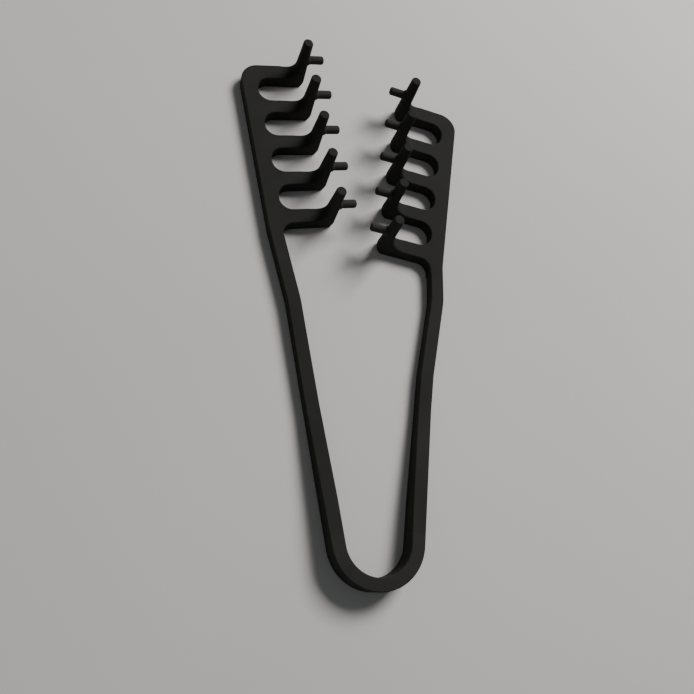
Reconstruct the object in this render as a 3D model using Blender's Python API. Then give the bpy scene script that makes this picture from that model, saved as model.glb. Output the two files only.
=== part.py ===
"""Finger exerciser: one-piece squeeze tongs, a flat strip bent to a U with a five-fingered comb on each arm.

The tongs lie on their back: X is across, Y runs from the bow to the combs, and Z is the strip's thickness,
with the prongs pointing up. The origin is on the resting face, halfway along and midway across.
Each arm follows a centre line that starts at the middle of the bow. The left half is the right half
mirrored, except that its arm is half a finger pitch longer, so the two combs mesh when squeezed.
"""

import math

import bmesh
import bpy
from mathutils import Matrix, Vector

MM = 0.001
CLEARANCE = 0.3 * MM

# From the bottom of the bow to the origin
HALF_LENGTH = 88.8 * MM
# The left comb reaches out further, so the middle of the bow lies to the right of the origin
BOW_MIDDLE = 1.4 * MM

# The strip
THICKNESS = 4.5 * MM
STRIP_WIDTH = 4.4 * MM
BOW_EXTRA_DEPTH = 3.9 * MM
TAPER_LENGTH = 53 * MM
BOW_THINNING = 0.6 * MM
BOW_RADIUS = 11.7 * MM
ARM_LEAN = math.radians(8.9)
BEND_RADIUS = 25 * MM

# Where the strip is divided, measured along the centre line from the middle of the bow
CROWN_END = math.radians(45) * BOW_RADIUS
LIMB_END = 30 * MM
LOWER_ARM_END = 58 * MM

# Above the arm: a shoulder that leans further out, then on the right a neck that is nearly upright
ARM_LENGTH = {"left": 74.6 * MM, "right": 52.4 * MM}
SHOULDER_LENGTH = 24 * MM
SHOULDER_LEAN = {"left": math.radians(13.5), "right": math.radians(12.4)}
NECK_LENGTH = {"left": 0, "right": 9.4 * MM}
NECK_LEAN = {"left": math.radians(13.5), "right": math.radians(3.5)}

# The comb: fingers at right angles to its spine, counted from the top
COMB_LEAN = math.radians(9.9)
FINGER_COUNT = 5
FINGER_PITCH = 14.3 * MM
FINGER_WIDTH = 5.1 * MM
TOP_FINGER_EXTRA = 0.5 * MM
FINGER_REACH = 23.5 * MM
COMB_HEIGHT = (FINGER_COUNT - 1) * FINGER_PITCH + FINGER_WIDTH + TOP_FINGER_EXTRA
SPINE_WIDTH = 5.3 * MM
SPINE_FOOT = 6 * MM
SLOT_CORNER = 4.2 * MM
TOP_CORNER = 6.5 * MM
FOOT_FILLET = 4 * MM
FINGER_START = SPINE_WIDTH + SLOT_CORNER + 0.2 * MM

# The prong: the finger's end turned up, from a rounded square to a tapered round
PRONG_HEIGHT = 14.4 * MM
PRONG_FOOT_DIAMETER = 4.0 * MM
PRONG_AXIS = FINGER_REACH - PRONG_FOOT_DIAMETER / 2
PRONG_TIP_DIAMETER = 3.4 * MM
PRONG_INNER_BEND = 5.2 * MM
PRONG_OUTER_BEND = 1.8 * MM
PRONG_START = PRONG_AXIS - PRONG_FOOT_DIAMETER / 2 - PRONG_INNER_BEND - 0.3 * MM
BEND_STEPS = 6
EDGE_ROUNDING = 0.4 * MM
# Keeps the four corners of a round section from meeting in doubled points
NEARLY_ROUND = 0.999

# The peg, which points along the finger towards the other comb
PEG_HEIGHT = THICKNESS + 6.3 * MM
PEG_DIAMETER = 2.8 * MM
PEG_END = PRONG_AXIS + 7.2 * MM
PEG_ROUNDING = 0.7 * MM
PEG_SIDES = 20

SIDES = ("left", "right")
ARC_STEP = math.radians(9)

SHARP_ANGLE = math.radians(40)

PLASTIC_COLOUR = (0.012, 0.012, 0.013)
PLASTIC_ROUGHNESS = 0.55


def clear_scene():
    for item in list(bpy.data.objects):
        bpy.data.objects.remove(item)


def new_collection(name):
    collection = bpy.data.collections.new(name)
    bpy.context.scene.collection.children.link(collection)
    return collection


def plastic(name, brightness=1.0):
    """Matte black plastic. Each kind of sub-part has its own slot of it."""
    material = bpy.data.materials.new(name)
    material.use_nodes = True
    shader = material.node_tree.nodes["Principled BSDF"]
    colour = [channel * brightness for channel in PLASTIC_COLOUR]
    shader.inputs["Base Color"].default_value = (*colour, 1)
    shader.inputs["Roughness"].default_value = PLASTIC_ROUGHNESS
    shader.inputs["Metallic"].default_value = 0
    return material


def centre_line(side):
    """The arm's centre line as (length, turn) runs, for the half at +X. A turn to the left is positive."""
    bow_turn = math.pi / 2 - ARM_LEAN
    shoulder_turn = ARM_LEAN - SHOULDER_LEAN[side]
    neck_turn = SHOULDER_LEAN[side] - NECK_LEAN[side]
    comb_turn = NECK_LEAN[side] - COMB_LEAN
    return [
        (BOW_RADIUS * bow_turn, bow_turn),
        (ARM_LENGTH[side], 0),
        (BEND_RADIUS * abs(shoulder_turn), shoulder_turn),
        (SHOULDER_LENGTH, 0),
        (BEND_RADIUS * abs(neck_turn), neck_turn),
        (NECK_LENGTH[side], 0),
        (BEND_RADIUS * abs(comb_turn), comb_turn),
    ]


def centre_line_length(side):
    return sum(length for length, turn in centre_line(side))


def station(side, distance):
    """(point, heading) on the centre line of the half at +X, at a distance from the middle of the bow."""
    point = Vector((0, STRIP_WIDTH / 2 - HALF_LENGTH))
    heading = 0.0
    left = distance
    for length, turn in centre_line(side):
        if length == 0:
            continue
        part = min(left, length) / length
        chord = length * part
        if turn:
            half_turn = turn * part / 2
            chord *= math.sin(half_turn) / half_turn if half_turn else 1
            heading += half_turn
        point += chord * Vector((math.cos(heading), math.sin(heading)))
        heading += turn * part / 2
        left -= length * part
        if left <= 0:
            break
    return point, heading


def bow_thinning(distance):
    """How much thinner the strip is on the inside of the bow, most at its middle."""
    return BOW_THINNING * max(0, 1 - distance / LIMB_END)


def strip_depth(along):
    """The strip is deepest at the bottom of the bow and falls to its plain thickness up the arms."""
    return THICKNESS + BOW_EXTRA_DEPTH * max(0, 1 - (along + HALF_LENGTH) / TAPER_LENGTH)


def strip_section(side, distance):
    """The four corners of the strip, square to its centre line."""
    point, heading = station(side, distance)
    inwards = Vector((-math.sin(heading), math.cos(heading)))
    outer = point - inwards * STRIP_WIDTH / 2
    inner = point + inwards * (STRIP_WIDTH / 2 - bow_thinning(distance))
    direction = -1 if side == "left" else 1
    top = strip_depth(point.y)
    corners = ((outer, 0), (outer, top), (inner, top), (inner, 0))
    return [(direction * place.x, place.y, height) for place, height in corners]


def strip_sections(side, start, end):
    """Sections of the strip between two distances along it, close together where it bends."""
    breaks = [0.0]
    for length, turn in centre_line(side):
        steps = max(1, math.ceil(abs(turn) / ARC_STEP))
        breaks += [breaks[-1] + length * step / steps for step in range(1, steps + 1)]
    distances = [start] + [d for d in breaks if start + CLEARANCE < d < end - CLEARANCE] + [end]
    return [strip_section(side, distance) for distance in distances]


def finished(shape, name):
    """Turns a bmesh into a mesh, smooth-shaded up to its sharp edges."""
    mesh = bpy.data.meshes.new(name)
    shape.to_mesh(mesh)
    shape.free()
    mesh.shade_smooth()
    mesh.set_sharp_from_angle(angle=SHARP_ANGLE)
    return mesh


def lofted(name, sections):
    """A closed mesh from sections, each with as many corners as the next."""
    shape = bmesh.new()
    rings = [[shape.verts.new(corner) for corner in section] for section in sections]
    for first, second in zip(rings, rings[1:]):
        for corner in range(len(first)):
            following = (corner + 1) % len(first)
            shape.faces.new((first[corner], first[following], second[following], second[corner]))
    shape.faces.new(rings[0])
    shape.faces.new(rings[-1])
    bmesh.ops.recalc_face_normals(shape, faces=shape.faces)
    return finished(shape, name)


def add_strip(name, sections, material, collection):
    mesh = lofted(name, sections)
    mesh.materials.append(material)
    collection.objects.link(bpy.data.objects.new(name, mesh))


def arc(centre, radius, start, turn, steps=6):
    """Points on an arc in the plane, both ends included. Angles are in radians."""
    angles = (start + turn * step / steps for step in range(steps + 1))
    return [Vector(centre) + radius * Vector((math.cos(a), math.sin(a))) for a in angles]


def comb_frame(side):
    """Places a comb's own plan: x inwards from the spine's outer edge, y up the spine from finger 5."""
    foot, heading = station(side, centre_line_length(side))
    upwards = Vector((math.cos(heading), math.sin(heading)))
    inwards = Vector((-upwards.y, upwards.x))
    origin = foot - inwards * STRIP_WIDTH / 2
    columns = Matrix(((inwards.x, upwards.x, 0), (inwards.y, upwards.y, 0), (0, 0, 1))).to_4x4()
    return Matrix.Translation((origin.x, origin.y, 0)) @ columns


def handed(side, matrix):
    """The matrix for this side: the half at +X is mirrored to make the left one."""
    return Matrix.Scale(-1, 4, (1, 0, 0)) @ matrix if side == "left" else matrix


def extruded(name, outline, material, collection):
    """A flat piece of the strip's thickness, lying on Z = 0, from its outline in the plan."""
    curve = bpy.data.curves.new(name, "CURVE")
    curve.dimensions = "2D"
    curve.fill_mode = "BOTH"
    curve.extrude = THICKNESS / 2
    spline = curve.splines.new("POLY")
    spline.points.add(len(outline) - 1)
    for point, place in zip(spline.points, outline):
        point.co = (place[0], place[1], 0, 1)
    spline.use_cyclic_u = True
    curve.materials.append(material)
    piece = bpy.data.objects.new(name, curve)
    piece.location.z = THICKNESS / 2
    collection.objects.link(piece)


def from_comb(side, outline):
    """An outline in the comb's own plan, placed in the object's plan."""
    place = handed(side, comb_frame(side))
    return [(place @ Vector(point).to_3d()).xy for point in outline]


def bow_crown(material, collection):
    end = CROWN_END - CLEARANCE / 2
    sections = strip_sections("left", 0, end)[:0:-1] + strip_sections("right", 0, end)
    add_strip("bow_crown", sections, material, collection)


def arm_pieces(side, limb_material, arm_material, collection):
    """The rest of the strip on one side, divided where it flexes and where it bends."""
    shoulder_start = (math.pi / 2 - ARM_LEAN) * BOW_RADIUS + ARM_LENGTH[side]
    spine_start = centre_line_length(side) - SPINE_FOOT
    runs = (
        ("bow_limb", CROWN_END, LIMB_END, limb_material),
        ("lower_arm", LIMB_END, LOWER_ARM_END, arm_material),
        ("upper_arm", LOWER_ARM_END, shoulder_start, arm_material),
        ("shoulder", shoulder_start, spine_start, arm_material),
    )
    for run, start, end, material in runs:
        sections = strip_sections(side, start + CLEARANCE / 2, end - CLEARANCE / 2)
        add_strip(f"{side}_{run}", sections, material, collection)


def finger_base(number):
    """The height of a finger's lower edge on the comb. Finger 1 is the top one."""
    return (FINGER_COUNT - number) * FINGER_PITCH


def finger_top(number):
    """The height of a finger's upper edge. The top finger is a little wider than the others."""
    width = FINGER_WIDTH + TOP_FINGER_EXTRA if number == 1 else FINGER_WIDTH
    return finger_base(number) + width


def comb_spine(side, material, collection):
    """The comb's back, with a stub of each finger, the round slot ends and the fillet under finger 5."""
    foot, heading = station(side, centre_line_length(side) - SPINE_FOOT + CLEARANCE / 2)
    across = Vector((-math.sin(heading), math.cos(heading))) * STRIP_WIDTH / 2
    to_comb = comb_frame(side).inverted()
    outer_foot = to_comb @ (foot - across).to_3d()
    inner_foot = to_comb @ (foot + across).to_3d()
    outline = [inner_foot.xy, outer_foot.xy, Vector((0, 0))]
    outline += arc((TOP_CORNER, COMB_HEIGHT - TOP_CORNER), TOP_CORNER, math.pi, -math.pi / 2)
    for number in range(1, FINGER_COUNT + 1):
        outline += [(FINGER_START, finger_top(number)), (FINGER_START, finger_base(number))]
        if number < FINGER_COUNT:
            slot_end = SPINE_WIDTH + SLOT_CORNER
            slot_top = finger_base(number) - SLOT_CORNER
            slot_bottom = finger_top(number + 1) + SLOT_CORNER
            outline += arc((slot_end, slot_top), SLOT_CORNER, math.pi / 2, math.pi / 2)
            outline += arc((slot_end, slot_bottom), SLOT_CORNER, math.pi, math.pi / 2)
    outline += arc((STRIP_WIDTH + FOOT_FILLET, -FOOT_FILLET), FOOT_FILLET, math.pi / 2, math.pi / 2)
    extruded(f"{side}_comb_spine", from_comb(side, outline), material, collection)


def finger(side, number, material, collection):
    low, high = finger_base(number), finger_top(number)
    start, end = FINGER_START + CLEARANCE, PRONG_START - CLEARANCE
    outline = [(start, low), (end, low), (end, high), (start, high)]
    extruded(f"{side}_finger_{number}", from_comb(side, outline), material, collection)


def soft_bend(corner, leg):
    """Points on a curve that starts level, a leg short of the corner, and ends upright, a leg above it."""
    start, end = corner - Vector((leg, 0)), corner + Vector((0, leg))
    shares = [step / BEND_STEPS for step in range(BEND_STEPS + 1)]
    return [start * (1 - t) ** 2 + corner * 2 * t * (1 - t) + end * t**2 for t in shares]


def rounded_section(width, depth, rounding, corner_steps=4):
    """A rounded rectangle as (across, deep) points: a circle where the rounding is half of both sides."""
    points = []
    for quarter in range(4):
        sign_x = 1 if quarter in (0, 3) else -1
        sign_y = 1 if quarter in (0, 1) else -1
        centre = Vector((sign_x * (width / 2 - rounding), sign_y * (depth / 2 - rounding)))
        for step in range(corner_steps + 1):
            angle = (quarter + step / corner_steps) * math.pi / 2
            points.append(centre + rounding * Vector((math.cos(angle), math.sin(angle))))
    return points


def prong_profiles():
    """(inner, outer) points from the finger's end up to the tip: x along the finger, y for height."""
    foot, tip = PRONG_FOOT_DIAMETER / 2, PRONG_TIP_DIAMETER / 2
    top = THICKNESS + PRONG_HEIGHT
    inner = [Vector((PRONG_START, THICKNESS))]
    inner += soft_bend(Vector((PRONG_AXIS - foot, THICKNESS)), PRONG_INNER_BEND)
    outer = [Vector((PRONG_START, 0))]
    bend_centre = (PRONG_AXIS + foot - PRONG_OUTER_BEND, PRONG_OUTER_BEND)
    outer += arc(bend_centre, PRONG_OUTER_BEND, -math.pi / 2, math.pi / 2, BEND_STEPS)
    for direction, profile in ((-1, inner), (1, outer)):
        profile.append(Vector((PRONG_AXIS + direction * tip, top - EDGE_ROUNDING)))
        profile.append(Vector((PRONG_AXIS + direction * (tip - EDGE_ROUNDING), top)))
    return inner, outer


def prong_mesh(foot_width):
    """A loft from the finger's square end, round the bend, to the round tip. It points along x, then up."""
    inner, outer = prong_profiles()
    bend_end = len(inner) - 3
    sections = []
    for index, (low, high) in enumerate(zip(inner, outer)):
        share = min(index / bend_end, 1)
        depth = (high - low).length
        width = foot_width + (PRONG_FOOT_DIAMETER - foot_width) * share
        if index > bend_end:
            width = depth
        rounding = EDGE_ROUNDING + (min(width, depth) / 2 - EDGE_ROUNDING) * share
        along = (high - low).normalized()
        middle = (low + high) / 2
        section = []
        for across, deep in rounded_section(width, depth, rounding * NEARLY_ROUND):
            place = middle + along * deep
            section.append((place.x, across, place.y))
        sections.append(section)
    return lofted("prong", sections)


def peg_mesh():
    """A round pin along x, from the prong's surface to its rounded end."""
    start = PRONG_AXIS + PRONG_FOOT_DIAMETER / 2 + CLEARANCE
    length = PEG_END - start
    radius = PEG_DIAMETER / 2
    shape = bmesh.new()
    bmesh.ops.create_cone(
        shape, cap_ends=True, segments=PEG_SIDES, radius1=radius, radius2=radius, depth=length
    )
    end_edges = [edge for edge in shape.edges if all(vertex.co.z > length / 3 for vertex in edge.verts)]
    bmesh.ops.bevel(
        shape,
        geom=end_edges,
        offset=PEG_ROUNDING,
        segments=3,
        profile=0.5,
        affect="EDGES",
        clamp_overlap=True,
    )
    lying = Matrix.Translation((start + length / 2, 0, 0)) @ Matrix.Rotation(math.pi / 2, 4, "Y")
    bmesh.ops.transform(shape, matrix=lying, verts=shape.verts)
    return finished(shape, "peg")


def upright(name, side, number, mesh, height, material, collection):
    """Places a prong or a peg on its finger."""
    piece_mesh = mesh.copy()
    piece_mesh.materials.append(material)
    middle = (finger_base(number) + finger_top(number)) / 2
    place = comb_frame(side) @ Matrix.Translation((0, middle, height))
    if side == "left":
        place = handed(side, place) @ Matrix.Scale(-1, 4, (0, 1, 0))
    piece = bpy.data.objects.new(f"{side}_{name}_{number}", piece_mesh)
    piece.matrix_world = place
    collection.objects.link(piece)


def build():
    clear_scene()
    collection = new_collection("finger_exerciser")
    spring_plastic = plastic("spring_plastic")
    arm_plastic = plastic("arm_plastic", 1.1)
    comb_plastic = plastic("comb_plastic", 1.2)
    prong_plastic = plastic("prong_plastic")
    peg_plastic = plastic("peg_plastic", 1.3)
    bow_crown(spring_plastic, collection)
    peg = peg_mesh()
    for side in SIDES:
        arm_pieces(side, spring_plastic, arm_plastic, collection)
        comb_spine(side, comb_plastic, collection)
        for number in range(1, FINGER_COUNT + 1):
            finger(side, number, comb_plastic, collection)
            prong = prong_mesh(finger_top(number) - finger_base(number))
            upright("prong", side, number, prong, 0, prong_plastic, collection)
            upright("peg", side, number, peg, PEG_HEIGHT, peg_plastic, collection)
    for piece in collection.objects:
        piece.location.x += BOW_MIDDLE


build()
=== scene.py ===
"""The finger exerciser's looks: matte black one-piece squeeze tongs with two meshing combs, on a pale floor.

Each side's strip is three bending lengths, each around one of the frame's hinges, and a stiff blade that
ends in the comb. A prong with a peg on it stands at each finger's end. Every outline follows the same centre
line as the frame's parts.
"""

import math

import bmesh
import bpy
from mathutils import Matrix, Vector


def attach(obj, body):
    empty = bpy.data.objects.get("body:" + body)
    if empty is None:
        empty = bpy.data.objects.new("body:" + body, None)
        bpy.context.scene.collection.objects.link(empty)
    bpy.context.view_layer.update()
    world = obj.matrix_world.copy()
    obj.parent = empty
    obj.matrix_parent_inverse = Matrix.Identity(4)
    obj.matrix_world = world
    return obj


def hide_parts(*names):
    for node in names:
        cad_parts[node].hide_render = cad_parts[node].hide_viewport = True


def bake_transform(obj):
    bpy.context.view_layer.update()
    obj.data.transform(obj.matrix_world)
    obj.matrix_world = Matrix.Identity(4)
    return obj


MM = 0.001

# The strip
HALF_LENGTH = 88.8 * MM
BOW_MIDDLE = 1.4 * MM
THICKNESS = 4.5 * MM
STRIP_WIDTH = 4.4 * MM
BOW_EXTRA_DEPTH = 3.9 * MM
BOW_THINNING = 0.6 * MM
BOW_RADIUS = 11.7 * MM
ARM_LEAN = math.radians(8.9)
BEND_RADIUS = 25 * MM
THINNING_END = 30 * MM
TAPER_LENGTH = 53 * MM

# Each side: arm, shoulder, neck, then the comb's spine
ARM_LENGTH = {"left": 74.6 * MM, "right": 52.4 * MM}
SHOULDER_LENGTH = 24 * MM
SHOULDER_LEAN = {"left": math.radians(13.5), "right": math.radians(12.4)}
NECK_LENGTH = {"left": 0, "right": 9.4 * MM}
NECK_LEAN = {"left": math.radians(13.5), "right": math.radians(3.5)}

# The bending lengths along the centre line, each with one of the frame's hinges within it
BENDS = (
    ("bow_bend", 0, 20 * MM, "bow", "limb", "spring_plastic"),
    ("limb_bend", 20 * MM, 44 * MM, "limb", "arm", "arm_plastic"),
    ("arm_bend", 44 * MM, 66 * MM, "arm", "tong", "arm_plastic"),
)
BLADE_START = 66 * MM

# The comb
COMB_LEAN = math.radians(9.9)
FINGER_COUNT = 5
FINGER_PITCH = 14.3 * MM
FINGER_WIDTH = 5.1 * MM
TOP_FINGER_EXTRA = 0.5 * MM
FINGER_REACH = 23.5 * MM
COMB_HEIGHT = (FINGER_COUNT - 1) * FINGER_PITCH + FINGER_WIDTH + TOP_FINGER_EXTRA
SPINE_WIDTH = 5.3 * MM
SLOT_CORNER = 4.2 * MM
TOP_CORNER = 6.5 * MM
FOOT_FILLET = 4 * MM

# The prong and its peg
PRONG_HEIGHT = 14.4 * MM
PRONG_FOOT_DIAMETER = 4.0 * MM
PRONG_AXIS = FINGER_REACH - PRONG_FOOT_DIAMETER / 2
PRONG_TIP_DIAMETER = 3.4 * MM
PRONG_INNER_BEND = 5.2 * MM
PRONG_OUTER_BEND = 1.8 * MM
PRONG_LEVEL_RUN = 0.3 * MM
PRONG_START = PRONG_AXIS - PRONG_FOOT_DIAMETER / 2 - PRONG_INNER_BEND - PRONG_LEVEL_RUN
TIP_ROUNDING = 0.45 * MM
PEG_HEIGHT = THICKNESS + 6.3 * MM
PEG_DIAMETER = 2.8 * MM
PEG_END = PRONG_AXIS + 7.2 * MM
PEG_ROUNDING = 0.8 * MM
PEG_FOOT_FLARE = 0.35 * MM
# The peg starts inside the prong, and its flare starts about where it comes out
PEG_SINKING = 0.8 * MM
FLARE_OFFSET = 0.65 * MM
PEG_SIDES = 28
PEG_END_STEPS = 6

EDGE_ROUNDING = 0.35 * MM
CORNER_STEPS = 4
BEND_STEPS = 22
RING_SPACING = 0.8 * MM
SHARP_ANGLE = math.radians(40)
# Keeps the four corners of a round section from meeting in doubled points
NEARLY_ROUND = 0.999
# The blade's outline is drawn this much too long at its ends, which are then cut square
ARM_SPARE = 5 * MM
FINGER_SPARE = 2 * MM
WELD_DISTANCE = 0.001 * MM
SIDES = ("left", "right")

# The plastic, from its darkest to its lightest patches
PLASTIC_DARK = 0.0265
PLASTIC_LIGHT = 0.0345
PLASTIC_TINT = (1, 1, 0.97)
PLASTIC_ROUGHNESS = (0.66, 0.76)
PLASTIC_SPECULAR = 0.03
CLOUD_SCALE = 55
GRAIN_SCALE = 2600
GRAIN_STRENGTH = 0.25
GRAIN_DEPTH = 0.02 * MM
# How light each slot's plastic is, against the comb's
BRIGHTNESS = {
    "spring_plastic": 1.12,
    "arm_plastic": 1.0,
    "comb_plastic": 1.0,
    "prong_plastic": 1.0,
    "peg_plastic": 1.5,
}
# Most of a noise's values lie between these
NOISE_LOW = 0.3
NOISE_HIGH = 0.7

# The floor lies just under the tongs, so that their faces don't coincide
FLOOR_SIZE = 6
FLOOR_HEIGHT = -0.05 * MM
PAPER_DARK = (0.70, 0.69, 0.67, 1)
PAPER_LIGHT = (0.74, 0.73, 0.71, 1)
PAPER_ROUGHNESS = 0.85
PAPER_SPECULAR = 0.2
PAPER_CLOUD_SCALE = 6

STUDIO_COLOUR = (0.9, 0.92, 0.95, 1)
STUDIO_STRENGTH = 0.09

# The camera, at the photograph's distance and angle
CAMERA_PLACE = Vector((-61.2, -86.8, 191.1)) * MM
CAMERA_AZIMUTH = math.radians(-38.7)
CAMERA_ELEVATION = math.radians(64.38)
CAMERA_ROLL = math.radians(39.63)
CAMERA_LENS = 34.56


def centre_line(side):
    """The arm's centre line as (length, turn) runs, for the half at +X. A turn to the left is positive."""
    bow_turn = math.pi / 2 - ARM_LEAN
    shoulder_turn = ARM_LEAN - SHOULDER_LEAN[side]
    neck_turn = SHOULDER_LEAN[side] - NECK_LEAN[side]
    comb_turn = NECK_LEAN[side] - COMB_LEAN
    return [
        (BOW_RADIUS * bow_turn, bow_turn),
        (ARM_LENGTH[side], 0),
        (BEND_RADIUS * abs(shoulder_turn), shoulder_turn),
        (SHOULDER_LENGTH, 0),
        (BEND_RADIUS * abs(neck_turn), neck_turn),
        (NECK_LENGTH[side], 0),
        (BEND_RADIUS * abs(comb_turn), comb_turn),
    ]


def centre_line_length(side):
    return sum(length for length, turn in centre_line(side))


def station(side, distance):
    """(point, heading) on the centre line of the half at +X, at a distance from the middle of the bow."""
    point = Vector((0, STRIP_WIDTH / 2 - HALF_LENGTH))
    heading = 0.0
    remaining = distance
    for length, turn in centre_line(side):
        if length == 0:
            continue
        part = min(remaining, length) / length
        chord = length * part
        if turn:
            half_turn = turn * part / 2
            chord *= math.sin(half_turn) / half_turn if half_turn else 1
            heading += half_turn
        point += chord * Vector((math.cos(heading), math.sin(heading)))
        heading += turn * part / 2
        remaining -= length * part
        if remaining <= 0:
            break
    return point, heading


def mirrored(side, direction):
    """A direction given for the half at +X, turned over for the left side."""
    return Vector((-direction.x if side == "left" else direction.x, direction.y))


def handed(side, point):
    """A place on its own side, from one given for the half at +X and measured from the middle of the bow."""
    return mirrored(side, point) + Vector((BOW_MIDDLE, 0))


def comb_point(side, along, up):
    """A place on the comb: along a finger from the spine's outer edge, and up the spine from finger 5."""
    foot, heading = station(side, centre_line_length(side))
    upwards = Vector((math.cos(heading), math.sin(heading)))
    inwards = Vector((-upwards.y, upwards.x))
    return foot + inwards * (along - STRIP_WIDTH / 2) + upwards * up


def rounded_section(width, depth, rounding):
    """A rounded rectangle as points: a circle where the rounding is half of both sides."""
    points = []
    for quarter in range(4):
        sign_x = 1 if quarter in (0, 3) else -1
        sign_y = 1 if quarter in (0, 1) else -1
        centre = Vector((sign_x * (width / 2 - rounding), sign_y * (depth / 2 - rounding)))
        for step in range(CORNER_STEPS + 1):
            angle = (quarter + step / CORNER_STEPS) * math.pi / 2
            points.append(centre + rounding * Vector((math.cos(angle), math.sin(angle))))
    return points


def loft(rings):
    """A closed mesh from rings of points, each with as many points as the next."""
    shape = bmesh.new()
    placed = [[shape.verts.new(point) for point in ring] for ring in rings]
    for first, second in zip(placed, placed[1:]):
        for corner in range(len(first)):
            following = (corner + 1) % len(first)
            shape.faces.new((first[corner], first[following], second[following], second[corner]))
    shape.faces.new(placed[0])
    shape.faces.new(placed[-1])
    bmesh.ops.recalc_face_normals(shape, faces=shape.faces)
    return shape


def shown(name, shape, material):
    """Turns a bmesh into a smooth-shaded object."""
    mesh = bpy.data.meshes.new(name)
    shape.to_mesh(mesh)
    shape.free()
    mesh.materials.append(material)
    mesh.shade_smooth()
    mesh.set_sharp_from_angle(angle=SHARP_ANGLE)
    piece = bpy.data.objects.new(name, mesh)
    bpy.context.scene.collection.objects.link(piece)
    weighted = piece.modifiers.new("even_flats", "WEIGHTED_NORMAL")
    weighted.keep_sharp = True
    weighted.weight = 100
    return piece


def bending_length(side, name, start, end, material):
    """A length of the strip as rings square to its centre line, close enough together to bend smoothly."""
    count = math.ceil((end - start) / RING_SPACING)
    rings = []
    for index in range(count + 1):
        distance = start + (end - start) * index / count
        point, heading = station(side, distance)
        inwards = Vector((-math.sin(heading), math.cos(heading)))
        thinning = BOW_THINNING * max(0, 1 - distance / THINNING_END)
        depth = THICKNESS + BOW_EXTRA_DEPTH * max(0, 1 - (point.y + HALF_LENGTH) / TAPER_LENGTH)
        middle = point - inwards * thinning / 2
        ring = []
        for across, up in rounded_section(STRIP_WIDTH - thinning, depth, EDGE_ROUNDING):
            place = handed(side, middle + inwards * across)
            ring.append((place.x, place.y, depth / 2 + up))
        rings.append(ring)
    return shown(f"{side}_{name}", loft(rings), material)


def arc(centre, radius, start, turn):
    """Points on an arc as (x, y) pairs, both ends included."""
    angles = [start + turn * step / BEND_STEPS for step in range(BEND_STEPS + 1)]
    return [(centre[0] + radius * math.cos(a), centre[1] + radius * math.sin(a)) for a in angles]


def soft_bend(corner, leg):
    """Points on a curve that leaves level, a leg short of the corner, and ends upright, a leg above it."""
    start, end = corner - Vector((leg, 0)), corner + Vector((0, leg))
    shares = [step / BEND_STEPS for step in range(BEND_STEPS + 1)]
    return [start * (1 - t) ** 2 + corner * 2 * t * (1 - t) + end * t**2 for t in shares]


def finger_base(number):
    """The height of a finger's lower edge on the comb. Finger 1 is the top one."""
    return (FINGER_COUNT - number) * FINGER_PITCH


def finger_top(number):
    """The height of a finger's upper edge. The top finger is a little wider than the others."""
    width = FINGER_WIDTH + TOP_FINGER_EXTRA if number == 1 else FINGER_WIDTH
    return finger_base(number) + width


def blade_outline(side):
    """The outline of arm, shoulder and comb for the half at +X, a little longer than the blade."""
    total = centre_line_length(side)
    start = BLADE_START - ARM_SPARE
    count = math.ceil((total - start) / RING_SPACING)
    outer, inner = [], []
    for index in range(count + 1):
        distance = start + (total - start) * index / count
        point, heading = station(side, distance)
        inwards = Vector((-math.sin(heading), math.cos(heading)))
        outer.append(point - inwards * STRIP_WIDTH / 2)
        if distance < total - FOOT_FILLET:
            inner.append(point + inwards * STRIP_WIDTH / 2)
    finger_end = PRONG_START + FINGER_SPARE
    comb = arc((TOP_CORNER, COMB_HEIGHT - TOP_CORNER), TOP_CORNER, math.pi, -math.pi / 2)
    for number in range(1, FINGER_COUNT + 1):
        comb.append((finger_end, finger_top(number)))
        comb.append((finger_end, finger_base(number)))
        if number < FINGER_COUNT:
            slot_end = SPINE_WIDTH + SLOT_CORNER
            slot_top = finger_base(number) - SLOT_CORNER
            slot_bottom = finger_top(number + 1) + SLOT_CORNER
            comb += arc((slot_end, slot_top), SLOT_CORNER, math.pi / 2, math.pi / 2)
            comb += arc((slot_end, slot_bottom), SLOT_CORNER, math.pi, math.pi / 2)
    comb += arc((STRIP_WIDTH + FOOT_FILLET, -FOOT_FILLET), FOOT_FILLET, math.pi / 2, math.pi / 2)
    return outer + [comb_point(side, along, up) for along, up in comb] + inner[::-1]


def cut_off(shape, place, direction):
    """Removes what lies beyond a plane and closes the cuts."""
    everything = shape.verts[:] + shape.edges[:] + shape.faces[:]
    cut = bmesh.ops.bisect_plane(
        shape, geom=everything, plane_co=place, plane_no=direction, clear_outer=True
    )
    rim = [item for item in cut["geom_cut"] if isinstance(item, bmesh.types.BMEdge)]
    bmesh.ops.holes_fill(shape, edges=rim, sides=0)


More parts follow.
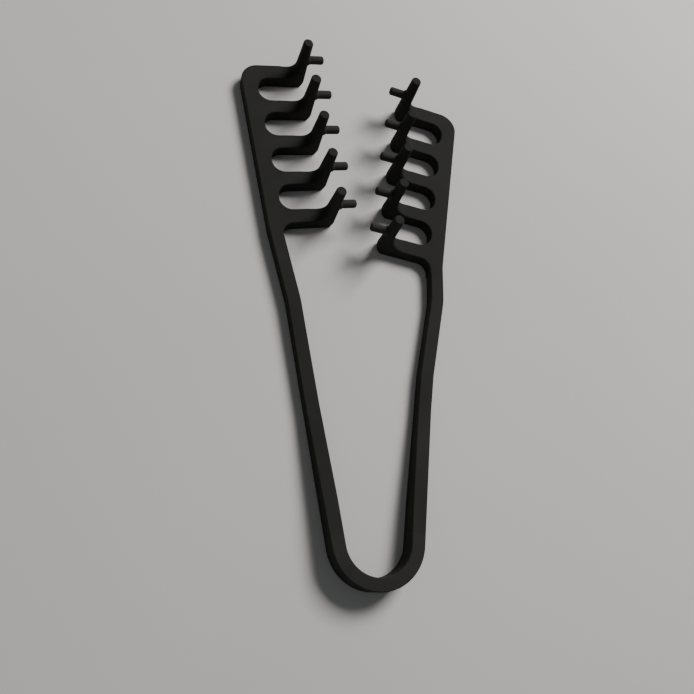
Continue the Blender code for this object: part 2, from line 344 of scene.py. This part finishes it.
def blade(side, material):
    """The stiff upper arm and comb: one flat piece with rounded edges, cut square where others join."""
    name = f"{side}_blade"
    curve = bpy.data.curves.new(name, "CURVE")
    curve.dimensions = "2D"
    curve.fill_mode = "BOTH"
    curve.extrude = THICKNESS / 2 - EDGE_ROUNDING
    curve.bevel_depth = EDGE_ROUNDING
    curve.bevel_resolution = 2
    curve.offset = -EDGE_ROUNDING
    spline = curve.splines.new("POLY")
    outline = [handed(side, point) for point in blade_outline(side)]
    spline.points.add(len(outline) - 1)
    for point, place in zip(spline.points, outline):
        point.co = (place.x, place.y, 0, 1)
    spline.use_cyclic_u = True
    drawn = bpy.data.objects.new(name + "_outline", curve)
    bpy.context.scene.collection.objects.link(drawn)
    evaluated = drawn.evaluated_get(bpy.context.evaluated_depsgraph_get())
    mesh = bpy.data.meshes.new_from_object(evaluated)
    shape = bmesh.new()
    shape.from_mesh(mesh)
    bpy.data.meshes.remove(mesh)
    bpy.data.objects.remove(drawn)
    bmesh.ops.translate(shape, vec=(0, 0, THICKNESS / 2), verts=shape.verts)
    bmesh.ops.remove_doubles(shape, verts=shape.verts, dist=WELD_DISTANCE)
    foot, heading = station(side, BLADE_START)
    upwards = mirrored(side, Vector((math.cos(heading), math.sin(heading))))
    cut_off(shape, handed(side, foot).to_3d(), -upwards.to_3d())
    finger_tip = handed(side, comb_point(side, PRONG_START, 0))
    inwards = mirrored(side, comb_point(side, 1, 0) - comb_point(side, 0, 0))
    cut_off(shape, finger_tip.to_3d(), inwards.to_3d())
    bmesh.ops.recalc_face_normals(shape, faces=shape.faces)
    return shown(name, shape, material)


def on_finger(side, number, along, across, height):
    """A place on or above a finger, measured from the finger's middle line."""
    middle = (finger_base(number) + finger_top(number)) / 2
    place = handed(side, comb_point(side, along, middle + across))
    return (place.x, place.y, height)


def prong_profiles():
    """(inner, outer) points from the finger's end up to the tip: x along the finger, y for height."""
    foot, tip = PRONG_FOOT_DIAMETER / 2, PRONG_TIP_DIAMETER / 2
    top = THICKNESS + PRONG_HEIGHT
    inner = [(PRONG_START, THICKNESS)]
    inner += soft_bend(Vector((PRONG_AXIS - foot, THICKNESS)), PRONG_INNER_BEND)
    outer = [(PRONG_START, 0)]
    bend_centre = (PRONG_AXIS + foot - PRONG_OUTER_BEND, PRONG_OUTER_BEND)
    outer += arc(bend_centre, PRONG_OUTER_BEND, -math.pi / 2, math.pi / 2)
    for direction, profile in ((-1, inner), (1, outer)):
        for step in range(CORNER_STEPS + 1):
            angle = step * math.pi / 2 / CORNER_STEPS
            radius = tip - TIP_ROUNDING * (1 - math.cos(angle))
            profile.append((PRONG_AXIS + direction * radius, top - TIP_ROUNDING * (1 - math.sin(angle))))
    return inner, outer


def prong(side, number, material):
    """The finger's end, lofted from its flat section round the bend to the round tip."""
    inner, outer = prong_profiles()
    bend_end = len(inner) - CORNER_STEPS - 2
    foot_width = finger_top(number) - finger_base(number)
    rings = []
    for index, (low, high) in enumerate(zip(inner, outer)):
        low, high = Vector(low), Vector(high)
        share = min(index / bend_end, 1)
        depth = (high - low).length
        width = foot_width + (PRONG_FOOT_DIAMETER - foot_width) * share
        if index > bend_end:
            width = depth
        rounding = EDGE_ROUNDING + (min(width, depth) / 2 - EDGE_ROUNDING) * share
        direction = (high - low).normalized()
        middle = (low + high) / 2
        ring = []
        for across, deep in rounded_section(width, depth, rounding * NEARLY_ROUND):
            place = middle + direction * deep
            ring.append(on_finger(side, number, place.x, across, place.y))
        rings.append(ring)
    return shown(f"{side}_prong_{number}_skin", loft(rings), material)


def peg(side, number, material):
    """A round pin with a small flare where it leaves the prong and a rounded end."""
    start = PRONG_AXIS + PRONG_FOOT_DIAMETER / 2 - PEG_SINKING
    flare_start = start + FLARE_OFFSET
    radius = PEG_DIAMETER / 2
    profile = [(start, radius + PEG_FOOT_FLARE), (flare_start, radius + PEG_FOOT_FLARE)]
    for step in range(1, CORNER_STEPS + 1):
        rise = math.sin(step * math.pi / 2 / CORNER_STEPS)
        profile.append((flare_start + PEG_FOOT_FLARE * rise, radius + PEG_FOOT_FLARE * (1 - rise)))
    for step in range(PEG_END_STEPS + 1):
        turn = step * math.pi / 2 / PEG_END_STEPS
        along = PEG_END - PEG_ROUNDING * (1 - math.sin(turn))
        profile.append((along, radius - PEG_ROUNDING * (1 - math.cos(turn))))
    rings = []
    for along, ring_radius in profile:
        ring = []
        for corner in range(PEG_SIDES):
            angle = corner * math.tau / PEG_SIDES
            height = PEG_HEIGHT + ring_radius * math.sin(angle)
            ring.append(on_finger(side, number, along, ring_radius * math.cos(angle), height))
        rings.append(ring)
    return shown(f"{side}_peg_{number}_skin", loft(rings), material)


def mixed_colour(nodes, links, factor, dark, light):
    """A colour between two, by a 0..1 value."""
    mix = nodes.new("ShaderNodeMix")
    mix.data_type = "RGBA"
    links.new(factor, mix.inputs["Factor"])
    mix.inputs["A"].default_value = dark
    mix.inputs["B"].default_value = light
    return mix.outputs["Result"]


def noise(nodes, links, place, scale, detail):
    """A noise texture's value."""
    texture = nodes.new("ShaderNodeTexNoise")
    links.new(place, texture.inputs["Vector"])
    texture.inputs["Scale"].default_value = scale
    texture.inputs["Detail"].default_value = detail
    return texture.outputs["Fac"]


def in_range(nodes, links, value, low, high):
    """Turns the middle of a noise's range into low..high."""
    spread = nodes.new("ShaderNodeMapRange")
    links.new(value, spread.inputs["Value"])
    spread.inputs["From Min"].default_value = NOISE_LOW
    spread.inputs["From Max"].default_value = NOISE_HIGH
    spread.inputs["To Min"].default_value = low
    spread.inputs["To Max"].default_value = high
    return spread.outputs["Result"]


def plastic_colour(value):
    """The plastic's black at a given lightness, slightly warm."""
    return tuple(value * tint for tint in PLASTIC_TINT) + (1,)


def black_plastic(name, brightness):
    """Matte black moulded plastic: a fine grain, faint cloudiness and slightly smoother patches."""
    material = bpy.data.materials.new(name)
    material.use_nodes = True
    nodes, links = material.node_tree.nodes, material.node_tree.links
    shader = nodes["Principled BSDF"]
    place = nodes.new("ShaderNodeTexCoord").outputs["Object"]
    grain = noise(nodes, links, place, GRAIN_SCALE, detail=3)
    clouds = noise(nodes, links, place, CLOUD_SCALE, detail=4)
    dark = plastic_colour(PLASTIC_DARK * brightness)
    light = plastic_colour(PLASTIC_LIGHT * brightness)
    colour = mixed_colour(nodes, links, in_range(nodes, links, clouds, 0, 1), dark, light)
    links.new(colour, shader.inputs["Base Color"])
    roughness = in_range(nodes, links, clouds, *PLASTIC_ROUGHNESS)
    links.new(roughness, shader.inputs["Roughness"])
    shader.inputs["Specular IOR Level"].default_value = PLASTIC_SPECULAR
    bump = nodes.new("ShaderNodeBump")
    bump.inputs["Strength"].default_value = GRAIN_STRENGTH
    bump.inputs["Distance"].default_value = GRAIN_DEPTH
    links.new(grain, bump.inputs["Height"])
    links.new(bump.outputs["Normal"], shader.inputs["Normal"])
    return material


def floor_material():
    """Pale, faintly mottled paper."""
    material = bpy.data.materials.new("pale_paper")
    material.use_nodes = True
    nodes, links = material.node_tree.nodes, material.node_tree.links
    shader = nodes["Principled BSDF"]
    place = nodes.new("ShaderNodeTexCoord").outputs["Object"]
    clouds = noise(nodes, links, place, PAPER_CLOUD_SCALE, detail=3)
    mottled = in_range(nodes, links, clouds, 0, 1)
    colour = mixed_colour(nodes, links, mottled, PAPER_DARK, PAPER_LIGHT)
    links.new(colour, shader.inputs["Base Color"])
    shader.inputs["Roughness"].default_value = PAPER_ROUGHNESS
    shader.inputs["Specular IOR Level"].default_value = PAPER_SPECULAR
    return material


def make_floor():
    bpy.ops.mesh.primitive_plane_add(size=FLOOR_SIZE, location=(0, 0, FLOOR_HEIGHT))
    floor = bpy.context.object
    floor.name = "floor"
    floor.data.materials.append(floor_material())


def area_light(name, place, size, power, colour):
    """A soft square lamp aimed at the tongs."""
    lamp = bpy.data.lights.new(name, "AREA")
    lamp.size = size
    lamp.energy = power
    lamp.color = colour
    holder = bpy.data.objects.new(name, lamp)
    holder.location = place
    holder.rotation_euler = (-Vector(place)).to_track_quat("-Z", "Y").to_euler()
    bpy.context.scene.collection.objects.link(holder)


def light_studio():
    area_light("key_light", place=(0.5, 0.5, 0.7), size=0.4, power=10.5, colour=(1, 0.98, 0.95))
    area_light("fill_light", place=(-0.6, -0.2, 0.7), size=0.7, power=0.3, colour=(0.93, 0.96, 1))
    world = bpy.data.worlds.new("studio")
    bpy.context.scene.world = world
    world.use_nodes = True
    background = world.node_tree.nodes["Background"]
    background.inputs["Color"].default_value = STUDIO_COLOUR
    background.inputs["Strength"].default_value = STUDIO_STRENGTH


def make_camera():
    """Looks along the azimuth and elevation, rolled so that the tongs stand upright in the picture."""
    back = Vector((
        math.sin(CAMERA_AZIMUTH) * math.cos(CAMERA_ELEVATION),
        -math.cos(CAMERA_AZIMUTH) * math.cos(CAMERA_ELEVATION),
        math.sin(CAMERA_ELEVATION),
    ))
    level = Vector((-back.y, back.x, 0)).normalized()
    upright = back.cross(level)
    right = level * math.cos(CAMERA_ROLL) + upright * math.sin(CAMERA_ROLL)
    turn = Matrix((right, back.cross(right), back)).transposed()
    lens = bpy.data.cameras.new("camera")
    lens.lens = CAMERA_LENS
    camera = bpy.data.objects.new("camera", lens)
    camera.matrix_world = Matrix.Translation(CAMERA_PLACE) @ turn.to_4x4()
    bpy.context.scene.collection.objects.link(camera)
    bpy.context.scene.camera = camera


def make_bends(side, materials):
    """The three bending lengths of one side, baked in place over the parts around each hinge, which are
    hidden.
    """
    replaced = {
        "bow_bend": ["bow_crown", f"{side}_bow_limb"],
        "limb_bend": [f"{side}_lower_arm"],
        "arm_bend": [f"{side}_lower_arm"],
    }
    for name, start, end, near, far, slot in BENDS:
        piece = bending_length(side, name, start, end, materials[slot])
        near_end = handed(side, station(side, start)[0])
        far_end = handed(side, station(side, end)[0])
        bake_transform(piece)
        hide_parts(*replaced[name])


def make_comb(side, materials):
    """The blade with its prongs and pegs, all carried by the side's tong body."""
    tong = f"{side}_tong"
    fingers = [f"{side}_finger_{number}" for number in range(1, FINGER_COUNT + 1)]
    piece = blade(side, materials["comb_plastic"])
    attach(piece, tong)
    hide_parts(f"{side}_upper_arm", f"{side}_shoulder", f"{side}_comb_spine", *fingers)
    for number in range(1, FINGER_COUNT + 1):
        for kind, make in (("prong", prong), ("peg", peg)):
            slot = f"{kind}_plastic"
            standing = make(side, number, materials[slot])
            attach(standing, tong)
            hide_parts(f"{side}_{kind}_{number}")


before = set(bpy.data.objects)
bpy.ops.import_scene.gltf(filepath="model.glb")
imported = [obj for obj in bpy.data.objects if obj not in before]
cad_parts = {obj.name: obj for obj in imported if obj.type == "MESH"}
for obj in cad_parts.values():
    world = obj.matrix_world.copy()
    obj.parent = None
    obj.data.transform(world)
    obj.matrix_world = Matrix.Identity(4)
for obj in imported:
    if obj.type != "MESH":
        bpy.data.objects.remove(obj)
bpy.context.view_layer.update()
plastics = {slot: black_plastic(slot + "_look", brightness) for slot, brightness in BRIGHTNESS.items()}
for side in SIDES:
    make_bends(side, plastics)
    make_comb(side, plastics)
make_floor()
light_studio()
make_camera()
